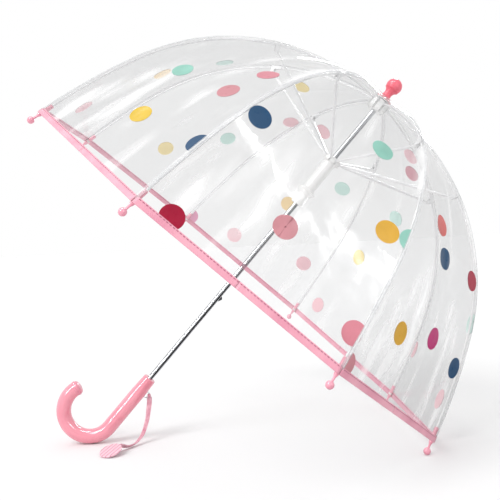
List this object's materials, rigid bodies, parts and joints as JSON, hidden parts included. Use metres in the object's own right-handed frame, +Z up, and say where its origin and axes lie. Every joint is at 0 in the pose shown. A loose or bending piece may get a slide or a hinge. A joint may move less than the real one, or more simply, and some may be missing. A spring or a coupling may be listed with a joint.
{
  "type": "children's umbrella",
  "caption": "Clear dome umbrella for a child, with a hook handle, sliding runner, folding ribs, polka dots and a pink hem.",
  "frame": {"origin": "on the floor, under the middle of the open umbrella lying at rest", "axes": "+Z up, +Y away from the viewer across the shaft, +X towards the crown's side of the leaning shaft"},
  "size_m": [0.5688, 0.6382, 0.5349],
  "materials": {
    "chrome": "polished chrome tube",
    "spring_steel": "dark spring steel",
    "pink_plastic": "glossy moulded pink plastic",
    "white_plastic": "glossy white plastic",
    "white_rib": "white coated rod",
    "clear_film": "clear film with polka dots",
    "pink_hem": "pink edge binding with a stitched line, and pink caps",
    "pink_ribbon": "thin pink ribbon"
  },
  "bodies": {
    "shaft_and_handle": {"shaft": "chrome", "handle": "pink_plastic", "handle_end_plug": "pink_plastic", "crown_notch": "white_plastic", "canopy_washer": "white_plastic", "ferrule": "pink_plastic", "strap_loop": "chrome", "strap": "pink_ribbon", "strap_disc": "pink_plastic"},
    "runner": {"runner": "white_plastic"},
    "top_catch": {"top_catch": "spring_steel"},
    "bottom_catch": {"bottom_catch": "spring_steel"},
    "rib_inner_1": {"rib_inner_1": "white_rib", "canopy_top_1": "clear_film"},
    "rib_inner_2": {"rib_inner_2": "white_rib", "canopy_top_2": "clear_film"},
    "rib_inner_3": {"rib_inner_3": "white_rib", "canopy_top_3": "clear_film"},
    "rib_inner_4": {"rib_inner_4": "white_rib", "canopy_top_4": "clear_film"},
    "rib_inner_5": {"rib_inner_5": "white_rib", "canopy_top_5": "clear_film"},
    "rib_inner_6": {"rib_inner_6": "white_rib", "canopy_top_6": "clear_film"},
    "rib_inner_7": {"rib_inner_7": "white_rib", "canopy_top_7": "clear_film"},
    "rib_inner_8": {"rib_inner_8": "white_rib", "canopy_top_8": "clear_film"},
    "rib_outer_1": {"rib_outer_1": "white_rib", "hem_and_tip_1": "pink_hem", "canopy_side_1": "clear_film"},
    "rib_outer_2": {"rib_outer_2": "white_rib", "hem_and_tip_2": "pink_hem", "canopy_side_2": "clear_film"},
    "rib_outer_3": {"rib_outer_3": "white_rib", "hem_and_tip_3": "pink_hem", "canopy_side_3": "clear_film"},
    "rib_outer_4": {"rib_outer_4": "white_rib", "hem_and_tip_4": "pink_hem", "canopy_side_4": "clear_film"},
    "rib_outer_5": {"rib_outer_5": "white_rib", "hem_and_tip_5": "pink_hem", "canopy_side_5": "clear_film"},
    "rib_outer_6": {"rib_outer_6": "white_rib", "hem_and_tip_6": "pink_hem", "canopy_side_6": "clear_film"},
    "rib_outer_7": {"rib_outer_7": "white_rib", "hem_and_tip_7": "pink_hem", "canopy_side_7": "clear_film"},
    "rib_outer_8": {"rib_outer_8": "white_rib", "hem_and_tip_8": "pink_hem", "canopy_side_8": "clear_film"},
    "stretcher_1": {"stretcher_1": "white_rib"},
    "stretcher_2": {"stretcher_2": "white_rib"},
    "stretcher_3": {"stretcher_3": "white_rib"},
    "stretcher_4": {"stretcher_4": "white_rib"},
    "stretcher_5": {"stretcher_5": "white_rib"},
    "stretcher_6": {"stretcher_6": "white_rib"},
    "stretcher_7": {"stretcher_7": "white_rib"},
    "stretcher_8": {"stretcher_8": "white_rib"}
  },
  "joints": [
    {"name": "runner_slide", "type": "slide", "parent": "shaft_and_handle", "child": "runner", "axis": [-0.6784, 0, -0.7347], "range_m": [0, 0.2166], "deforming": ["canopy_top_1", "canopy_side_1", "hem_and_tip_1", "canopy_top_2", "canopy_side_2", "hem_and_tip_2", "canopy_top_3", "canopy_side_3", "hem_and_tip_3", "canopy_top_4", "canopy_side_4", "hem_and_tip_4", "canopy_top_5", "canopy_side_5", "hem_and_tip_5", "canopy_top_6", "canopy_side_6", "hem_and_tip_6", "canopy_top_7", "canopy_side_7", "hem_and_tip_7", "canopy_top_8", "canopy_side_8", "hem_and_tip_8", "top_catch", "bottom_catch"]},
    {"name": "top_catch_press", "type": "slide", "parent": "shaft_and_handle", "child": "top_catch", "axis": [-0.7347, 0, 0.6784], "range_m": [0, 0.0028], "stiffness_N_per_m": 200},
    {"name": "bottom_catch_press", "type": "slide", "parent": "shaft_and_handle", "child": "bottom_catch", "axis": [-0.7347, 0, 0.6784], "range_m": [0, 0.0028], "stiffness_N_per_m": 200},
    {"name": "rib_fold_1", "type": "hinge", "parent": "shaft_and_handle", "child": "rib_inner_1", "pos_m": [0.18056, -0.00421, 0.46163], "axis": [0.2811, -0.9239, -0.2596], "range_deg": [0, 69.02]},
    {"name": "rib_flex_1", "type": "hinge", "parent": "rib_inner_1", "child": "rib_outer_1", "pos_m": [0.04544, -0.06342, 0.52601], "axis": [0.2811, -0.9239, -0.2596], "range_deg": [-35.62, 0]},
    {"name": "stretcher_fold_1", "type": "hinge", "parent": "rib_inner_1", "child": "stretcher_1", "pos_m": [0.04383, -0.06218, 0.51984], "axis": [0.2811, -0.9239, -0.2596], "range_deg": [-136.87, 0]},
    {"name": "rib_fold_2", "type": "hinge", "parent": "shaft_and_handle", "child": "rib_inner_2", "pos_m": [0.18493, -0.01016, 0.45759], "axis": [0.6788, -0.3827, -0.6268], "range_deg": [0, 69.02]},
    {"name": "rib_flex_2", "type": "hinge", "parent": "rib_inner_2", "child": "rib_outer_2", "pos_m": [0.11133, -0.15311, 0.46516], "axis": [0.6788, -0.3827, -0.6268], "range_deg": [-35.62, 0]},
    {"name": "stretcher_fold_2", "type": "hinge", "parent": "rib_inner_2", "child": "stretcher_2", "pos_m": [0.10843, -0.15011, 0.46019], "axis": [0.6788, -0.3827, -0.6268], "range_deg": [-136.87, 0]},
    {"name": "rib_fold_3", "type": "hinge", "parent": "shaft_and_handle", "child": "rib_inner_3", "pos_m": [0.19112, -0.01016, 0.45188], "axis": [0.6788, 0.3827, -0.6268], "range_deg": [0, 69.02]},
    {"name": "rib_flex_3", "type": "hinge", "parent": "rib_inner_3", "child": "rib_outer_3", "pos_m": [0.20452, -0.15311, 0.37912], "axis": [0.6788, 0.3827, -0.6268], "range_deg": [-35.62, 0]},
    {"name": "stretcher_fold_3", "type": "hinge", "parent": "rib_inner_3", "child": "stretcher_3", "pos_m": [0.19979, -0.15011, 0.37582], "axis": [0.6788, 0.3827, -0.6268], "range_deg": [-136.87, 0]},
    {"name": "rib_fold_4", "type": "hinge", "parent": "shaft_and_handle", "child": "rib_inner_4", "pos_m": [0.19549, -0.00421, 0.44784], "axis": [0.2811, 0.9239, -0.2596], "range_deg": [0, 69.02]},
    {"name": "rib_flex_4", "type": "hinge", "parent": "rib_inner_4", "child": "rib_outer_4", "pos_m": [0.27041, -0.06342, 0.31827], "axis": [0.2811, 0.9239, -0.2596], "range_deg": [-35.62, 0]},
    {"name": "stretcher_fold_4", "type": "hinge", "parent": "rib_inner_4", "child": "stretcher_4", "pos_m": [0.26439, -0.06218, 0.31617], "axis": [0.2811, 0.9239, -0.2596], "range_deg": [-136.87, 0]},
    {"name": "rib_fold_5", "type": "hinge", "parent": "shaft_and_handle", "child": "rib_inner_5", "pos_m": [0.19549, 0.00421, 0.44784], "axis": [-0.2811, 0.9239, 0.2596], "range_deg": [0, 69.02]},
    {"name": "rib_flex_5", "type": "hinge", "parent": "rib_inner_5", "child": "rib_outer_5", "pos_m": [0.27041, 0.06342, 0.31827], "axis": [-0.2811, 0.9239, 0.2596], "range_deg": [-35.62, 0]},
    {"name": "stretcher_fold_5", "type": "hinge", "parent": "rib_inner_5", "child": "stretcher_5", "pos_m": [0.26439, 0.06218, 0.31617], "axis": [-0.2811, 0.9239, 0.2596], "range_deg": [-136.87, 0]},
    {"name": "rib_fold_6", "type": "hinge", "parent": "shaft_and_handle", "child": "rib_inner_6", "pos_m": [0.19112, 0.01016, 0.45188], "axis": [-0.6788, 0.3827, 0.6268], "range_deg": [0, 69.02]},
    {"name": "rib_flex_6", "type": "hinge", "parent": "rib_inner_6", "child": "rib_outer_6", "pos_m": [0.20452, 0.15311, 0.37912], "axis": [-0.6788, 0.3827, 0.6268], "range_deg": [-35.62, 0]},
    {"name": "stretcher_fold_6", "type": "hinge", "parent": "rib_inner_6", "child": "stretcher_6", "pos_m": [0.19979, 0.15011, 0.37582], "axis": [-0.6788, 0.3827, 0.6268], "range_deg": [-136.87, 0]},
    {"name": "rib_fold_7", "type": "hinge", "parent": "shaft_and_handle", "child": "rib_inner_7", "pos_m": [0.18493, 0.01016, 0.45759], "axis": [-0.6788, -0.3827, 0.6268], "range_deg": [0, 69.02]},
    {"name": "rib_flex_7", "type": "hinge", "parent": "rib_inner_7", "child": "rib_outer_7", "pos_m": [0.11133, 0.15311, 0.46516], "axis": [-0.6788, -0.3827, 0.6268], "range_deg": [-35.62, 0]},
    {"name": "stretcher_fold_7", "type": "hinge", "parent": "rib_inner_7", "child": "stretcher_7", "pos_m": [0.10843, 0.15011, 0.46019], "axis": [-0.6788, -0.3827, 0.6268], "range_deg": [-136.87, 0]},
    {"name": "rib_fold_8", "type": "hinge", "parent": "shaft_and_handle", "child": "rib_inner_8", "pos_m": [0.18056, 0.00421, 0.46163], "axis": [-0.2811, -0.9239, 0.2596], "range_deg": [0, 69.02]},
    {"name": "rib_flex_8", "type": "hinge", "parent": "rib_inner_8", "child": "rib_outer_8", "pos_m": [0.04544, 0.06342, 0.52601], "axis": [-0.2811, -0.9239, 0.2596], "range_deg": [-35.62, 0]},
    {"name": "stretcher_fold_8", "type": "hinge", "parent": "rib_inner_8", "child": "stretcher_8", "pos_m": [0.04383, 0.06218, 0.51984], "axis": [-0.2811, -0.9239, 0.2596], "range_deg": [-136.87, 0]}
  ],
  "couplings": [
    {"joint": "rib_fold_1", "follows": "runner_slide", "rad_per_m": 5.56},
    {"joint": "rib_flex_1", "follows": "runner_slide", "rad_per_m": -2.8686},
    {"joint": "stretcher_fold_1", "follows": "runner_slide", "rad_per_m": -11.027},
    {"joint": "rib_fold_2", "follows": "runner_slide", "rad_per_m": 5.56},
    {"joint": "rib_flex_2", "follows": "runner_slide", "rad_per_m": -2.8686},
    {"joint": "stretcher_fold_2", "follows": "runner_slide", "rad_per_m": -11.027},
    {"joint": "rib_fold_3", "follows": "runner_slide", "rad_per_m": 5.56},
    {"joint": "rib_flex_3", "follows": "runner_slide", "rad_per_m": -2.8686},
    {"joint": "stretcher_fold_3", "follows": "runner_slide", "rad_per_m": -11.027},
    {"joint": "rib_fold_4", "follows": "runner_slide", "rad_per_m": 5.56},
    {"joint": "rib_flex_4", "follows": "runner_slide", "rad_per_m": -2.8686},
    {"joint": "stretcher_fold_4", "follows": "runner_slide", "rad_per_m": -11.027},
    {"joint": "rib_fold_5", "follows": "runner_slide", "rad_per_m": 5.56},
    {"joint": "rib_flex_5", "follows": "runner_slide", "rad_per_m": -2.8686},
    {"joint": "stretcher_fold_5", "follows": "runner_slide", "rad_per_m": -11.027},
    {"joint": "rib_fold_6", "follows": "runner_slide", "rad_per_m": 5.56},
    {"joint": "rib_flex_6", "follows": "runner_slide", "rad_per_m": -2.8686},
    {"joint": "stretcher_fold_6", "follows": "runner_slide", "rad_per_m": -11.027},
    {"joint": "rib_fold_7", "follows": "runner_slide", "rad_per_m": 5.56},
    {"joint": "rib_flex_7", "follows": "runner_slide", "rad_per_m": -2.8686},
    {"joint": "stretcher_fold_7", "follows": "runner_slide", "rad_per_m": -11.027},
    {"joint": "rib_fold_8", "follows": "runner_slide", "rad_per_m": 5.56},
    {"joint": "rib_flex_8", "follows": "runner_slide", "rad_per_m": -2.8686},
    {"joint": "stretcher_fold_8", "follows": "runner_slide", "rad_per_m": -11.027}
  ]
}
